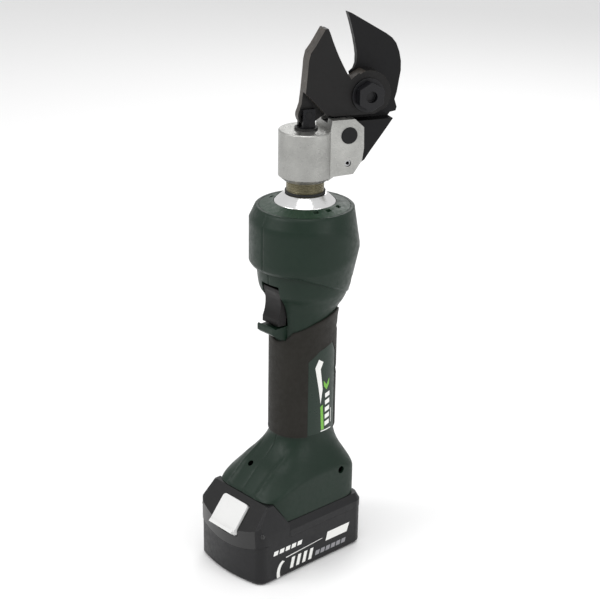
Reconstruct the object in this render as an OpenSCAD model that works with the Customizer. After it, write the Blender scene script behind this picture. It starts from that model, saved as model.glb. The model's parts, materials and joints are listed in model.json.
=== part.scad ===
// Battery hydraulic rescue cutter: in-line body, swivelling head, slide-on battery.
// Origin: on the tool axis, level with the underside of the battery. +Z runs up to the blades,
// -Y is the trigger side, and the right half of the housing is on +X.

/* [Head] */
// Turn of the cutting head about the tool axis, in degrees
head_turn = 22; // [0:1:45]
// Diameter of the yoke block
yoke_d = 40.6; // [38:0.2:44]
// Width of the slot that holds the fixed blade
yoke_slot_w = 13; // [12.6:0.1:13.4]
// Diameter of the anchor pin through the two ears
anchor_pin_d = 12.6; // [11:0.1:13.5]
// Diameter of the pivot bolt's shank
pivot_d = 12; // [10:0.1:13]
// Radius of the moving jaw's hub
hub_r = 18; // [16:0.1:18]

/* [Hydraulics] */
// Diameter of the ram rod
rod_d = 13.8; // [12:0.1:14]
// Diameter of the piston
piston_d = 24; // [22:0.5:26]

/* [Housing] */
// Radius of the barrel at its widest
barrel_r = 41.6; // [40:0.1:43]
// Height of the top edge of the barrel
barrel_top = 284; // [283:0.5:286]
// Half-width of the handle, across the two halves
handle_rx = 22; // [21.5:0.5:23]
// How much deeper the handle is than it is wide, on each side
handle_extra_y = 3.5; // [2:0.5:4]
// Wall thickness of the housing
wall = 2.6; // [2.2:0.1:3]
// Half-width of the foot
foot_half_w = 33.5; // [32:0.5:34.5]
// How far the foot reaches behind the axis
foot_rear_y = 32.5; // [30:0.5:33.5]
// Height of the foot's lower edge
foot_bottom = 45.3; // [45:0.1:46]

/* [Battery] */
// Half-width of the battery case
pack_half_w = 37; // [36:0.5:38]
// Height of the lower battery case
pack_lower_h = 33; // [31:0.5:35]
// How far the battery reaches behind the axis
pack_rear_y = 36; // [34:0.5:38]
// How far the middle of the battery's front reaches ahead of the axis
pack_front_y = 79; // [77:0.5:81]
// Diameter of one cell
cell_d = 18.2; // [18:0.1:18.4]

/* [Hidden] */
$fn = 96;
eps = 0.01;

// Head: u runs across the head towards the fixed blade, v is the thickness, z is height.
pivot_u = 44.2;
pivot_z = 365.6;
tail_z = 352.5;
tail_r = 7.6;
jaw_back = -3.1;
jaw_front = 8.9;
shear_gap = 0.3;
blade_back = -9;
tang_half = 6.4;
ear_out = 15;
yoke_r = yoke_d / 2;
yoke_bottom = 303.5;
yoke_top = 341.5;
slot_u = 14;
anchor_u = 28.1;
anchor_z = 338;
lock_u = 27.5;
lock_z = 317;
lock_r = 2.5;
rod_r = rod_d / 2;
rod_bore_r = rod_r + 0.45;
clevis_half_u = 4.7;
clevis_half_v = 6.2;
clevis_slot_half = 3.4;
clevis_top = 357.4;
clevis_floor = 343.6;
clevis_base = 343.5;
clevis_pin_r = 2.9;
bush_r = 8;
run_gap = 0.06;
neck_r = 14.1;
neck_thread_r = 12.5;
neck_thread_top = 318;
neck_foot = 276.2;
collar_shoulder = 279.6;
collar_base_z = 287;
collar_top_z = 293.5;

// Hydraulics and motor, stacked on the axis
piston_r = piston_d / 2;
cylinder_r = 15.5;
cylinder_floor = 204;
cylinder_top = 275.6;
piston_z = 216;
piston_h = 12;
spring_top = 275.8;
pump_z = 186;
gearbox_z = 160;
motor_z = 104;
motor_top = 158;
motor_r = 18;

foot_front_r = 9;
foot_front_y = 61.5;
hump_top = 63.4;

// Battery
pack_front_bow_r = 110;
pack_corner_r = 9;
pack_arch_r = 110;
pack_arch_low = 27;
shoulder_top = 44.7;
rail_top = 58;
cell_l = 65;
cell_pitch_y = 19;
cell_first_y = -56;
cell_z = [12.6, 31.4];
latch_tilt = 39;
latch_w = 28;
latch_len = 25;
latch_mid = [0, -73.6, 49.4];

// Lays a drawing made in (u, z) on the head as a plate from v0 to v1.
module head_plate(v0, v1) {
    translate([v0, 0, 0]) rotate([90, 0, 90]) linear_extrude(v1 - v0) children();
}

// A round bar across the head at (u, z), from v0 to v1.
module head_bar(u, z, v0, v1, r, fn = 64) {
    translate([v0, u, z]) rotate([0, 90, 0]) cylinder(r = r, h = v1 - v0, $fn = fn);
}

module in_head() {
    rotate([0, 0, -head_turn]) children();
}

module tube(z0, z1, r_out, r_in) {
    translate([0, 0, z0]) difference() {
        cylinder(r = r_out, h = z1 - z0);
        translate([0, 0, -1]) cylinder(r = r_in, h = z1 - z0 + 2);
    }
}

module disc(z0, z1, r) {
    translate([0, 0, z0]) cylinder(r = r, h = z1 - z0);
}

// A block from its lowest to its highest corner.
module block(lo, hi) {
    translate(lo) cube(hi - lo);
}

// ---- Housing ----

module half_space(side) {
    if (side < 0) block([-60, -110, 30], [-eps, 60, 300]);
    else block([eps, -110, 30], [60, 60, 300]);
}

module handle_section(inset) {
    r = handle_rx - inset;
    for (s = [-1, 1]) translate([0, s * handle_extra_y]) circle(r = r);
    square([2 * r, 2 * handle_extra_y], center = true);
}

module barrel_profile(inset) {
    b = barrel_r - inset;
    polygon([
        [0, 180], [handle_rx - 1 - inset, 180], [25.5 - inset, 198], [28.8 - inset, 206],
        [33.4 - inset, 214.5], [35.2 - inset, 223], [37.4 - inset, 233], [b, 241.5], [b, 262],
        [40.2 - inset, 273], [37 - inset, barrel_top], [0, barrel_top],
    ]);
}

module foot_slab(half_w, front_y, rear_y, z0, z1, front_r, rear_r) {
    translate([0, 0, z0]) linear_extrude(z1 - z0) for (side = [-1, 1]) {
        translate([side * (half_w - front_r), -front_y + front_r]) circle(r = front_r, $fn = 32);
        translate([side * (half_w - rear_r), rear_y - rear_r]) circle(r = rear_r, $fn = 32);
    }
}

module foot_middle(inset) {
    foot_slab(28.5 - inset, 48.5 - inset, 30.5 - inset, 78.5 - inset, 80 - inset,
              14 - inset, 15 - inset);
}

// Foot and handle as one solid, drawn in by inset.
module foot_solid(inset) {
    hull() {
        foot_slab(foot_half_w - inset, foot_front_y - inset, foot_rear_y - inset, foot_bottom,
                  65 - inset, foot_front_r - inset, 14 - inset);
        foot_middle(inset);
    }
    hull() {
        foot_middle(inset);
        translate([0, 0, 101]) linear_extrude(1) handle_section(inset);
    }
    translate([0, 0, 100]) linear_extrude(92) handle_section(inset);
}

// Space at the lower front of the foot that the battery's hump fills.
module hump_space(gap) {
    rotate([90, 0, 90]) translate([0, 0, -50]) linear_extrude(100)
        polygon([
            [-110, 20], [-110, hump_top + gap], [-56 + gap, hump_top + gap],
            [-42.8 + gap, foot_bottom - 1], [-42.8 + gap, 20],
        ]);
}

module housing_solid() {
    difference() {
        union() {
            foot_solid(0);
            rotate_extrude() barrel_profile(0);
            guard_lip();
        }
        foot_solid(wall);
        rotate_extrude() barrel_profile(wall);
        block([-40, -80, 40], [40, 40, foot_bottom]);
        hump_space(0.3);
        // Trigger opening
        block([-9.4, -60, 195.2], [9.4, -18, 228.6]);
        // Blind recess at the top of the foot's front slope
        translate([-7, -46.9, 81.5]) rotate([42.4, 0, 0]) translate([0, 0, -1.2])
            cylinder(r = 1.9, h = 6, $fn = 32);
        // Seat of the top ring
        disc(barrel_top - 3.2, barrel_top + 1, 34.2);
        // Holes for the housing screws, side plates, work light and retract button
        for (p = screw_places) screw_hole(p);
        side_plate_space(0.15);
        work_light_shape(0.1);
        retract_hole();
    }
    difference() {
        intersection() {
            for (p = screw_places) screw_boss(p);
            union() {
                foot_solid(0.3);
                rotate_extrude() barrel_profile(0.3);
            }
        }
        disc(90, 204, motor_r + 0.4);
        for (p = screw_places) screw_hole(p);
    }
}

module guard_lip() {
    difference() {
        rotate([90, 0, 90]) translate([0, 0, -8.5]) linear_extrude(17)
            polygon([
                [-37.6, 196.5], [-38.2, 191.5], [-34, 187], [-28, 181.5], [-22, 176],
                [-22, 194.8], [-36, 194.8],
            ]);
        translate([0, 0, 170]) linear_extrude(40) handle_section(wall);
    }
}

// Screws run along X: [y, z, x of the seat under the head]
screw_places = [[12.4, 71, 23], [20.6, 150, 5], [20.6, 186, 5], [23, 227, 19.6]];

module screw_hole(p) {
    translate([-12, p[0], p[1]]) rotate([0, 90, 0]) cylinder(r = 1.7, h = 40, $fn = 24);
    translate([p[2], p[0], p[1]]) rotate([0, 90, 0]) cylinder(r = 3, h = 30, $fn = 32);
}

module screw_boss(p) {
    reach = p[2] + 8;
    translate([-reach, p[0], p[1]]) rotate([0, 90, 0]) cylinder(r = 4.6, h = 2 * reach, $fn = 32);
}

module housing_left() {
    color("#26352c") intersection() {
        housing_solid();
        half_space(-1);
    }
}

module housing_right() {
    color("#26352c") intersection() {
        housing_solid();
        half_space(1);
    }
}

module housing_screws() {
    color("#3a3c3c") for (p = screw_places)
        translate([-8, p[0], p[1]]) rotate([0, 90, 0]) {
            cylinder(r = 1.6, h = 8 + p[2], $fn = 24);
            translate([0, 0, 8 + p[2]]) cylinder(r = 2.7, h = 2, $fn = 32);
        }
}

// Soft overmoulded grip: a skin on the handle, open for the side plates.
module grip_skin() {
    difference() {
        intersection() {
            union() {
                translate([0, 0, 98]) linear_extrude(94) handle_section(-1.6);
                rotate_extrude() polygon([[0, 184], [handle_rx + 1.6, 184], [27.1, 198],
                                          [30.4, 206], [0, 206]]);
            }
            // The upper edge climbs from the guard towards the back.
            rotate([90, 0, 90]) translate([0, 0, -40]) linear_extrude(80)
                polygon([[-45, 102.4], [45, 102.4], [45, 196], [12, 205], [-8, 198],
                         [-22, 190.5], [-30, 180], [-45, 172]]);
        }
        translate([0, 0, 90]) linear_extrude(102) handle_section(-0.03);
        rotate_extrude() barrel_profile(-0.03);
        guard_lip_space();
        for (s = [-1, 1]) rotate([90, 0, 90]) translate([0, 0, s < 0 ? -40 : 10]) linear_extrude(30)
            polygon([[-13, 90], [-13, 166], [-3, 174], [11, 178], [16, 168], [16, 90]]);
        screw_windows();
    }
}

module guard_lip_space() {
    block([-9, -50, 174], [9, -20, 198]);
}

module screw_windows() {
    for (p = screw_places) if (p[1] > 120 && p[1] < 210)
        translate([0, p[0], p[1]]) rotate([0, 90, 0]) cylinder(r = 3.8, h = 60, $fn = 32);
}

module grip_left() {
    color("#2d2c27") intersection() {
        grip_skin();
        half_space(-1);
    }
}

module grip_right() {
    color("#2d2c27") intersection() {
        grip_skin();
        half_space(1);
    }
}

// Ring with vents that closes the barrel round the collar.
module top_ring() {
    color("#2c3d33") difference() {
        union() {
            disc(barrel_top - 3, barrel_top, 34);
            translate([0, 0, barrel_top - eps])
                cylinder(r1 = 33.6, r2 = 24.6, h = collar_base_z - barrel_top + eps);
        }
        disc(barrel_top - 5, collar_base_z + 1, 23.4);
        for (a = [-25, -3, 22, 158, 183, 205]) rotate([0, 0, a])
            block([25.6, -2, 270], [28.6, 2, 290]);
    }
}

// Smooth plates set into the two sides of the handle.
module side_plate_space(gap) {
    for (s = [0, 1]) mirror([s, 0, 0])
        rotate([90, 0, 90]) translate([0, 0, handle_rx - 1.3]) linear_extrude(4)
            offset(delta = gap) polygon([
                [-12, 104], [-12, 165], [-3, 172.5], [10.5, 176], [14.8, 167], [14.8, 104],
            ]);
}

module side_plates() {
    color("#2f4136") intersection() {
        side_plate_space(0);
        translate([0, 0, 90]) linear_extrude(100) handle_section(-0.5);
    }
}

// Small lens in the barrel's front top edge.
module work_light_shape(gap) {
    translate([0, -36.2, 277.5]) rotate([106, 0, 0]) translate([0, 0, -1.8])
        linear_extrude(4.6) offset(delta = gap) square([9, 3.4], center = true);
}

module work_light() {
    color("#0d0f10") intersection() {
        work_light_shape(0);
        rotate_extrude() barrel_profile(-0.2);
    }
}

module retract_hole() {
    translate([-50, 0, 226]) rotate([0, 90, 0]) cylinder(r = 5.4, h = 30);
}

module retract_button() {
    color("#1b1b1d") translate([0, 0, 226]) rotate([0, -90, 0]) {
        translate([0, 0, 24]) cylinder(r = 5.1, h = 14.2);
        translate([0, 0, 24]) cylinder(r = 6.6, h = 5);
    }
}

module trigger_profile() {
    difference() {
        polygon([
            [-27, 227.4], [-32.6, 225.6], [-33.4, 196.8], [-25.5, 195.9], [-24, 210], [-19.5, 219],
            [-19.5, 227.4],
        ]);
        translate([-57.8, 213]) circle(r = 27.2);
    }
}

module trigger() {
    color("#1f1f20") difference() {
        rotate([90, 0, 90]) translate([0, 0, -8.8]) linear_extrude(17.6) trigger_profile();
        translate([-20, -22.6, 223.6]) rotate([0, 90, 0]) cylinder(r = 1.56, h = 40, $fn = 32);
    }
}

module trigger_pin() {
    color("silver") translate([-13, -22.6, 223.6]) rotate([0, 90, 0])
        cylinder(r = 1.5, h = 26, $fn = 32);
}

module switch_body() {
    color("#26262a") {
        block([-7, -21, 202], [7, -16, 212]);
        block([-2, -21.6, 207], [2, -21 + eps, 210]);
    }
}

module control_board() {
    color("#1d5a36") block([-11, 17.2, 206], [11, 18.8, 221.5]);
    color("#222222") for (z = [207.5, 214.5]) block([-8, 18.8 - eps, z], [8, 21.5, z + 6]);
}

// ---- Drive and hydraulics ----

module motor_can() {
    color("#8a8c8e") difference() {
        disc(motor_z, motor_top, motor_r);
        disc(motor_z - 1, motor_top - 2, motor_r - 1.4);
        disc(motor_top - 3, motor_top + 1, 3.2);
    }
}

module motor_end_cap() {
    color("#2b2b2e") difference() {
        union() {
            disc(motor_z - 4, motor_z, motor_r);
            disc(motor_z - 7, motor_z - 4 + eps, 7);
        }
        disc(motor_z - 4.5, motor_z + 1, 2.56);
    }
}

module motor_magnets() {
    color("#4a4a4c") for (s = [0, 180]) rotate([0, 0, s]) intersection() {
        tube(motor_z + 8, motor_top - 10, motor_r - 1.4, motor_r - 4.6);
        block([2.5, -20, motor_z], [20, 20, motor_top]);
    }
}

module armature() {
    color("#9a6a3a") difference() {
        disc(motor_z + 10, motor_top - 12, 12.8);
        for (a = [0 : 60 : 359]) rotate([0, 0, a]) block([8, -1, motor_z], [14, 1, motor_top]);
    }
    color("silver") disc(motor_z - 4, motor_top + 6, 2.5);
    color("#b87333") disc(motor_z + 2, motor_z + 8, 6);
}

module motor_fan() {
    color("#202022") {
        tube(motor_top - 9, motor_top - 4, 5, 2.5);
        for (a = [0 : 40 : 359]) rotate([0, 0, a])
            block([4.8, -0.5, motor_top - 9], [12.4, 0.5, motor_top - 4]);
    }
}

module gearbox_case() {
    color("#7c7f82") difference() {
        disc(gearbox_z, gearbox_z + 25.6, 18.4);
        disc(gearbox_z + 2.4, gearbox_z + 23, 15.6);
        disc(gearbox_z - 1, gearbox_z + 3, 4.6);
        disc(gearbox_z + 22, gearbox_z + 27, 4.1);
    }
}

module pump_shaft() {
    color("silver") {
        disc(gearbox_z + 8, pump_z + 4, 4);
        disc(gearbox_z + 6.4, gearbox_z + 10, 12);
        translate([1.2, 0, 0]) disc(pump_z + 4 - eps, pump_z + 11, 3.4);
    }
}

module pump_body() {
    color("#8d9094") difference() {
        disc(pump_z, cylinder_floor, 15.5);
        disc(pump_z - 1, pump_z + 12, 5.2);
    }
}

module cylinder_body() {
    difference() {
        disc(cylinder_floor, cylinder_top, cylinder_r);
        disc(cylinder_floor + 6, cylinder_top + 1, piston_r + 0.08);
    }
}

module cylinder_node() {
    color("#6f7276") cylinder_body();
}

module oil_bladder() {
    color("#1a1a1a") tube(240, 264, 25, 16);
}

module collar() {
    color("#e8e8ea") rotate_extrude() polygon([
        [cylinder_r, 266], [21.5, 266], [21.5, 283.4], [23.1, 284.6], [23.1, collar_base_z],
        [16, collar_top_z], [neck_r + run_gap, collar_top_z], [neck_r + run_gap, collar_shoulder],
        [cylinder_r, collar_shoulder],
    ]);
}

module neck_sleeve() {
    color("#6b6852") rotate_extrude() polygon([
        [rod_bore_r, neck_foot], [15.2, neck_foot], [15.2, collar_shoulder - 0.3],
        [neck_r, collar_shoulder - 0.3], [neck_r, yoke_bottom], [neck_thread_r, yoke_bottom],
        [neck_thread_r, neck_thread_top], [rod_bore_r, neck_thread_top],
    ]);
}

module neck_ring() {
    color("#2a2620") tube(collar_top_z + 0.4, collar_top_z + 2, 15.1, neck_r);
}

module ram_rod() {
    color("#1c1c1e") in_head() difference() {
        union() {
            disc(piston_z + piston_h, clevis_floor + 0.4, rod_r);
            disc(piston_z - 5, piston_z + piston_h + eps, 5);
            intersection() {
                disc(clevis_base, clevis_top, 7.8);
                block([-clevis_half_v, -clevis_half_u, clevis_base],
                      [clevis_half_v, clevis_half_u, clevis_top]);
            }
        }
        block([-clevis_slot_half, -10, clevis_floor], [clevis_slot_half, 10, clevis_top + 5]);
        head_bar(0, tail_z, -10, 10, clevis_pin_r);
    }
}

module clevis_pin() {
    color("#303034") in_head()
        head_bar(0, tail_z, -clevis_half_v - 0.4, clevis_half_v + 0.4, clevis_pin_r);
}

module piston() {
    color("#a0a2a4") difference() {
        disc(piston_z, piston_z + piston_h, piston_r);
        disc(piston_z - 1, piston_z + piston_h + 1, 5);
        tube(piston_z + 4, piston_z + 7, piston_r + 1, piston_r - 2);
    }
}

module piston_seal() {
    color("#171717") tube(piston_z + 4, piston_z + 7, piston_r, piston_r - 2);
}

module piston_nut() {
    color("silver") difference() {
        translate([0, 0, piston_z - 4]) cylinder(r = 8, h = 4, $fn = 6);
        disc(piston_z - 6, piston_z + 1, 5);
    }
}

// Return spring: a round wire swept along a helix.
spring_turns = 7;
spring_steps = 12;
spring_wire_r = 0.9;
spring_coil_r = 9.4;
spring_sides = 8;
spring_low = piston_z + piston_h + spring_wire_r + 0.1;
spring_high = spring_top - spring_wire_r - 0.1;
spring_count = spring_turns * spring_steps;

function spring_point(i, k) =
    let (a = 360 * i / spring_steps, b = 360 * k / spring_sides,
         r = spring_coil_r + spring_wire_r * cos(b))
    [r * cos(a), r * sin(a),
     spring_low + (spring_high - spring_low) * i / spring_count + spring_wire_r * sin(b)];

module return_spring() {
    points = [for (i = [0 : spring_count], k = [0 : spring_sides - 1]) spring_point(i, k)];
    walls = [for (i = [0 : spring_count - 1], k = [0 : spring_sides - 1])
        let (n = (k + 1) % spring_sides, a = i * spring_sides, b = a + spring_sides)
        [a + k, b + k, b + n, a + n]];
    first = [for (k = [0 : spring_sides - 1]) k];
    last = [for (k = [spring_sides - 1 : -1 : 0]) spring_count * spring_sides + k];
    color("#b9bbbd") polyhedron(points, concat(walls, [first], [last]), convexity = 10);
}

module rod_seal() {
    color("#161616") tube(337.5, 343.2, 8.6, rod_r + run_gap);
}

// ---- Head ----

module ear_outline() {
    polygon([
        [slot_u - 2, 305], [16.5, 307.8], [31.8, 308.6], [38.6, 318.4], [39.9, 327.5],
        [39.5, 343.4], [32.3, 350], [14.6, 350], [13.2, yoke_top], [slot_u - 2, yoke_top],
    ]);
}

module yoke() {
    color("#a6a6a0") in_head() difference() {
        union() {
            rotate_extrude() polygon([
                [0, yoke_bottom], [16, yoke_bottom], [yoke_r, yoke_bottom + 3.6],
                [yoke_r, yoke_top - 0.8], [yoke_r - 0.8, yoke_top], [0, yoke_top],
            ]);
            head_plate(-ear_out, ear_out) ear_outline();
        }
        block([-yoke_slot_w / 2, slot_u, 290], [yoke_slot_w / 2, 60, 360]);
        block([-30, slot_u - 6.4, yoke_top], [30, slot_u - 0.6, 360]);
        disc(300, neck_thread_top, neck_thread_r);
        disc(300, 360, rod_bore_r);
        disc(337.5, 360, 8.6);
        head_bar(anchor_u, anchor_z, -20, 20, anchor_pin_d / 2);
        head_bar(lock_u, lock_z, -20, 20, lock_r);
    }
}

module anchor_pin() {
    color("#222226") in_head()
        head_bar(anchor_u, anchor_z, -ear_out - 0.7, ear_out + 0.7, anchor_pin_d / 2);
}

module lock_pin() {
    color("#55565a") in_head() difference() {
        head_bar(lock_u, lock_z, -ear_out + 1, ear_out - 1, lock_r);
        head_bar(lock_u, lock_z, -20, 20, 1.2);
    }
}

module blade_outline() {
    polygon([
        [32, 424.5], [35.5, 423.2], [50, 414.6], [63, 407], [67.5, 403.6], [70.8, 399.5],
        [73.5, 393], [75, 386], [75.2, 379], [72.6, 363], [71, 357.5], [73, 351.5],
        [72.2, 348.8], [67.5, 348], [60.5, 338.3], [48.5, 322.4], [44, 316], [36, 311],
        [18, 311], [14.6, 314], [14.6, 345], [22, 348], [23, 370], [25.5, 378], [30, 381.4],
        [34, 381.4], [37.5, 383], [39.6, 386.5], [40.1, 392], [39.2, 398], [37.5, 406],
        [35.6, 413], [34, 418.5],
    ]);
}

module fixed_blade() {
    color("#1b1b1f") in_head() difference() {
        union() {
            head_plate(blade_back, jaw_back - shear_gap) intersection() {
                blade_outline();
                translate([0, 350.4]) square([100, 100]);
            }
            head_plate(-tang_half, jaw_back - shear_gap) blade_outline();
            head_plate(-tang_half, tang_half) intersection() {
                blade_outline();
                translate([0, 300]) square([100, 46]);
            }
        }
        head_bar(pivot_u, pivot_z, -30, 30, pivot_d / 2);
        head_bar(anchor_u, anchor_z, -20, 20, anchor_pin_d / 2);
        head_bar(lock_u, lock_z, -20, 20, lock_r);
        // Ground bevel behind the cutting edge
        translate([blade_back, 37.6, 402]) rotate([13, 0, 0]) rotate([0, 0, 32])
            block([-12, -12, -40], [0, 20, 40]);
    }
}

// Outline of the jaw between its tail and its hub, in (u, z).
module jaw_outline() {
    polygon([
        [1, 347], [-5.2, 350], [-7.2, 353.6], [-6.2, 357.5], [-5, 361], [-3.9, 370.3],
        [-2.6, 384.8], [-2, 393], [-0.6, 398.8], [3.2, 403.8], [10.4, 415.4], [12.6, 415.6],
        [14.2, 412], [16.2, 406.6], [18.7, 400.6], [21.3, 394.7], [24.4, 388.6], [27.7, 382.6],
        [30.9, 378], [36, 374], [44, 372], [44, 348.6],
    ]);
}

// What is cut away under the jaw, in (u, z).
module jaw_underside() {
    polygon([[4, 330], [4, 346.4], [13.5, 352.6], [18, 351.3], [pivot_u + 6, 351.3], [80, 366],
             [80, 330]]);
}

// The driven end is milled thinner, so that it fits between the clevis cheeks.
module tail_relief() {
    polygon([[-20, 330], [30, 330], [30, 334], [13.5, 351.3], [-6, 372], [-20, 372]]);
}

module moving_jaw() {
    tail_angle = atan2(tail_z - pivot_z, -pivot_u);
    slot_half = 2.1;
    slot_r = clevis_pin_r + 0.45;
    color("#3a3836") in_head() difference() {
        union() {
            head_plate(jaw_back, jaw_front) jaw_outline();
            head_bar(pivot_u, pivot_z, jaw_back, jaw_front, hub_r, 96);
            head_bar(0, tail_z, jaw_back, jaw_front, tail_r);
        }
        head_plate(jaw_back - 1, jaw_front + 1) jaw_underside();
        head_plate(-jaw_back, jaw_front + 1) tail_relief();
        head_bar(pivot_u, pivot_z, -20, 20, bush_r);
        translate([-20, 0, tail_z]) rotate([tail_angle, 0, 0]) {
            for (s = [-1, 1]) translate([0, s * slot_half, 0]) rotate([0, 90, 0])
                cylinder(r = slot_r, h = 40, $fn = 48);
            block([0, -slot_half, -slot_r], [40, slot_half, slot_r]);
        }
        // Bevel down to the cutting edge
        translate([jaw_back + 1, 22.6, 392]) rotate([27.5, 0, 0]) rotate([0, 0, 38])
            block([0, 0, -16.5], [30, 30, 45]);
        // Facet along the outside of the tip
        translate([jaw_front - 6.5, 3.2, 403.8]) rotate([-33, 0, 0]) rotate([0, 0, -42])
            block([0, -30, -9], [30, 0, 40]);
    }
}

module pivot_bush() {
    color("#a8813c") in_head() difference() {
        head_bar(pivot_u, pivot_z, jaw_back, jaw_front, bush_r);
        head_bar(pivot_u, pivot_z, -20, 20, pivot_d / 2 + run_gap);
    }
}

module hex_head(v0, v1, across_flats) {
    translate([v0, pivot_u, pivot_z]) rotate([0, 90, 0])
        cylinder(d = across_flats / cos(30), h = v1 - v0, $fn = 6);
}

module pivot_bolt() {
    color("#2b2b2f") in_head() difference() {
        union() {
            head_bar(pivot_u, pivot_z, -17.5, 10.4, pivot_d / 2);
            hex_head(10.4, 17, 19);
        }
        head_bar(pivot_u, pivot_z, 13.2, 18, 4.2);
    }
}

module pivot_washers() {
    color("#3c3c40") in_head() for (v = [9.1, blade_back - 1.4]) difference() {
        head_bar(pivot_u, pivot_z, v, v + 1.3, 12.6);
        head_bar(pivot_u, pivot_z, -30, 30, pivot_d / 2);
    }
}

module pivot_nut() {
    color("#2b2b2f") in_head() difference() {
        hex_head(-16.6, blade_back - 1.4, 19);
        head_bar(pivot_u, pivot_z, -30, 30, pivot_d / 2);
    }
}

// ---- Battery ----

function corner_points(x, y, r, a0, a1) =
    [for (i = [0 : 8]) let (a = a0 + (a1 - a0) * i / 8) [x + r * cos(a), y + r * sin(a)]];

// Outline of the battery seen from above, drawn in by inset.
module pack_outline(inset) {
    r = pack_corner_r - inset;
    x = pack_half_w - pack_corner_r;
    bow_y = pack_front_bow_r - pack_front_y;
    turn = asin(x / (pack_front_bow_r - pack_corner_r));
    front_y = bow_y - (pack_front_bow_r - pack_corner_r) * cos(turn);
    rear_y = pack_rear_y - pack_corner_r;
    polygon(concat(
        [for (i = [-7 : 7])
            let (a = turn * i / 8 - 90) [0, bow_y] + (pack_front_bow_r - inset) * [cos(a), sin(a)]],
        corner_points(x, front_y, r, turn - 90, 0), corner_points(x, rear_y, r, 0, 90),
        corner_points(-x, rear_y, r, 90, 180), corner_points(-x, front_y, r, 180, 270 - turn)
    ));
}

module pack_slab(inset, z0, z1) {
    translate([0, 0, z0]) linear_extrude(z1 - z0) pack_outline(inset);
}

// The lower case's front edge dips in the middle.
module front_arch(gap) {
    translate([0, -64 + gap, pack_arch_low + pack_arch_r]) rotate([90, 0, 0])
        cylinder(r = pack_arch_r - gap, h = 30, $fn = 180);
}

module battery_lower_case() {
    color("#3a393b") difference() {
        union() {
            hull() {
                pack_slab(2.6, 0, 0.1);
                pack_slab(0.7, 2.4, 2.5);
            }
            pack_slab(0.7, 2.4, pack_lower_h);
        }
        pack_slab(3, 2.6, pack_lower_h + 1);
        front_arch(0);
        for (p = pack_screw_places) translate([p[0], p[1], -1]) {
            cylinder(r = 1.4, h = 10, $fn = 24);
            cylinder(r = 3, h = 2.2, $fn = 32);
        }
    }
}

pack_screw_places = [[-27, -68.2], [27, -68.2], [-24, 31.2], [24, 31.2]];

module battery_screws() {
    color("#505256") for (p = pack_screw_places) translate([p[0], p[1], 0.2]) {
        cylinder(r = 2.7, h = 1, $fn = 32);
        cylinder(r = 1.2, h = 36, $fn = 24);
    }
}

// Rails that hang the battery in the tool's shoe, as a section in (x, z).
module rail_section(inset) {
    polygon([
        [-19.6 + inset, 40], [19.6 - inset, 40], [19.6 - inset, 52], [24.4 - inset, 52.6],
        [24.4 - inset, rail_top - inset], [-24.4 + inset, rail_top - inset],
        [-24.4 + inset, 52.6], [-19.6 + inset, 52],
    ]);
}

module rail_bar(inset, y0, y1) {
    translate([0, y1, 0]) rotate([90, 0, 0]) linear_extrude(y1 - y0) rail_section(inset);
}

module battery_upper_case() {
    color("#343336") difference() {
        union() {
            pack_slab(0.4, pack_lower_h + 0.3, 39);
            hull() {
                pack_slab(0.4, 38.9, 39);
                pack_slab(3.6, 44, shoulder_top);
            }
            rail_bar(0, -43.4, 27);
        }
        hump_space(-0.5);
        pack_slab(3, pack_lower_h - 1, 42.4);
        rail_bar(2, -60, 24.6);
        // Slots for the tool's contacts
        for (x = [-11, 0, 11]) block([x - 1.6, -20, 50], [x + 1.6, 30, 62]);
    }
    // Bosses for the rear screws
    color("#343336") for (x = [-24, 24]) translate([x, 31.2, 34]) difference() {
        cylinder(r = 2.05, h = 8.5, $fn = 24);
        translate([0, 0, -1]) cylinder(r = 1.25, h = 4, $fn = 24);
    }
}

// Section of the front cover, in (y, z).
module cover_section(inset) {
    offset(delta = -inset) polygon([
        [-86, 20], [-86, 24], [-81.2, 36.5], [-79.5, 40.5], [-61.6, hump_top], [-56.4, hump_top],
        [-43.8, 45], [-43.8, pack_lower_h + 0.3], [-64.3, pack_lower_h + 0.3], [-64.3, 20],
    ]);
}

module cover_bar(inset, half_w) {
    rotate([90, 0, 90]) translate([0, 0, -half_w]) linear_extrude(2 * half_w) cover_section(inset);
}

// The hump's two sides lean in towards its top.
module hump_sides(inset) {
    translate([0, -40, 0]) rotate([90, 0, 0]) linear_extrude(50) polygon([
        [-40, 15], [-40, 38], [-36.8 + inset, 42], [-31 + inset, 66], [31 - inset, 66],
        [36.8 - inset, 42], [40, 38], [40, 15],
    ]);
}

module latch_frame() {
    translate(latch_mid) rotate([90 - latch_tilt, 0, 0]) children();
}

module battery_front_cover() {
    color("#141416") difference() {
        intersection() {
            cover_bar(0, 40);
            pack_slab(0.2, 15, 66);
            hump_sides(0);
            union() {
                front_arch(0.3);
                block([-50, -64.6, pack_lower_h + 0.2], [50, -40, 70]);
            }
        }
        intersection() {
            cover_bar(2.2, 33.6);
            hump_sides(2.2);
            union() {
                front_arch(2.4);
                block([-50, -64.6, 20], [50, -40, 70]);
            }
            pack_slab(3, 15, 66);
        }
        block([-34, -66.6, 20], [34, -40, 42.6]);
        for (p = pack_screw_places) translate([p[0], p[1], 0]) cylinder(r = 1.25, h = 38, $fn = 24);
        latch_frame() latch_block(0.4, 5);
    }
}

module latch_block(gap, travel) {
    w = latch_w / 2 + gap;
    top = latch_len / 2 + gap;
    block([-w, -latch_len / 2 - gap - travel, -4 - gap], [w, top, 8]);
}

module latch_button() {
    color("#dedede") latch_frame() {
        translate([0, 0, -4]) linear_extrude(5.2) offset(r = 3, $fn = 32)
            square([latch_w - 6, latch_len - 6], center = true);
        block([-latch_w / 2 + 1, -latch_len / 2, -3], [latch_w / 2 - 1, -latch_len / 2 + 2.6, 2.6]);
    }
}

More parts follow.
